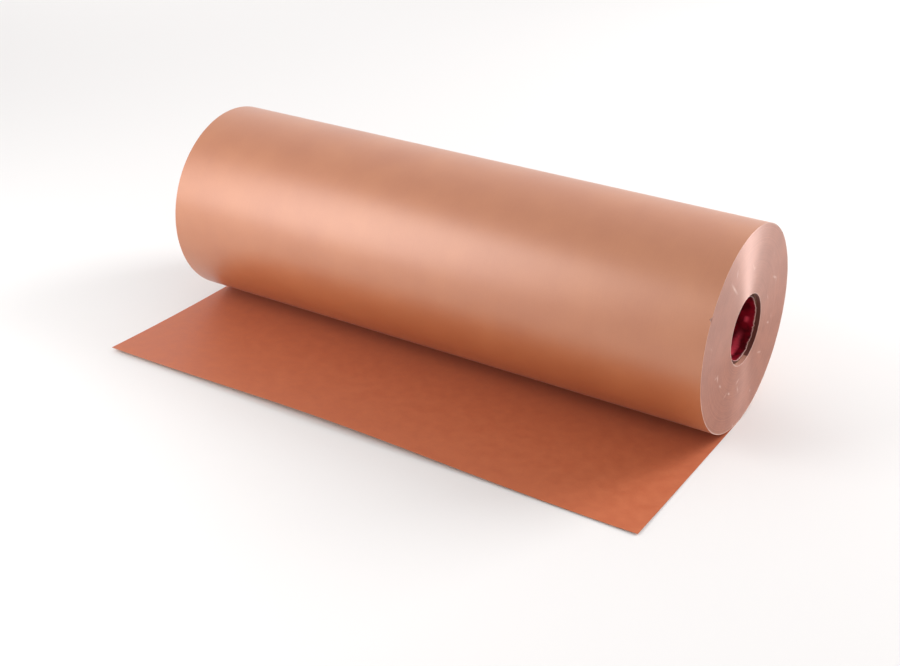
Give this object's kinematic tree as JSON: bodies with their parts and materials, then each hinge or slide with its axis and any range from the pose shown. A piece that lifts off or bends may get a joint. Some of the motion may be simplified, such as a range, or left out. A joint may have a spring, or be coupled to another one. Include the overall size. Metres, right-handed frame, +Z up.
{
  "type": "copper foil tape roll",
  "caption": "Wide roll of copper foil tape wound on a paperboard core, lying on its side with its loose end laid flat in front of it.",
  "frame": {"origin": "on the floor, at the middle of the object's outline seen from above, which is midway between the loose end and the back of the roll", "axes": "+X along the roll, towards the end that the picture shows; the loose end lies towards -Y; +Z up"},
  "size_m": [0.762, 0.3919, 0.2523],
  "materials": {
    "copper_foil": "satin rolled copper",
    "wound_web_edge": "slit edges of many laps, satin salmon pink",
    "release_liner": "matte copper brown coated paper",
    "adhesive": "clear tacky acrylic",
    "core_red_ply": "glossy red coated paper",
    "core_board": "grey brown paperboard",
    "core_kraft_ply": "matte kraft paper",
    "start_tape": "matte double-sided tape"
  },
  "bodies": {
    "laid_tail": {"tail_foil": "copper_foil", "tail_adhesive": "adhesive", "tail_liner": "release_liner"},
    "peeling_bend": {"bend_foil": "copper_foil", "bend_adhesive": "adhesive", "bend_liner": "release_liner"},
    "roll": {"core_red_ply": "core_red_ply", "core_board": "core_board", "core_kraft_ply": "core_kraft_ply", "start_tape": "start_tape", "wound_laps": "wound_web_edge", "last_lap_liner": "release_liner", "last_lap_adhesive": "adhesive", "last_lap_foil": "copper_foil"}
  },
  "joints": [
    {"name": "roll_travel", "type": "slide", "parent": "laid_tail", "child": "peeling_bend", "axis": [0, 1, 0], "range_m": [-0.17, 0.791], "deforming": ["tail_foil", "tail_adhesive", "tail_liner"]},
    {"name": "roll_spin", "type": "hinge", "parent": "peeling_bend", "child": "roll", "pos_m": [0, 0.07, 0.1263], "axis": [1, 0, 0], "range_deg": [-361, 80]}
  ],
  "couplings": [
    {"joint": "roll_spin", "follows": "roll_travel", "rad_per_m": -7.9365}
  ]
}
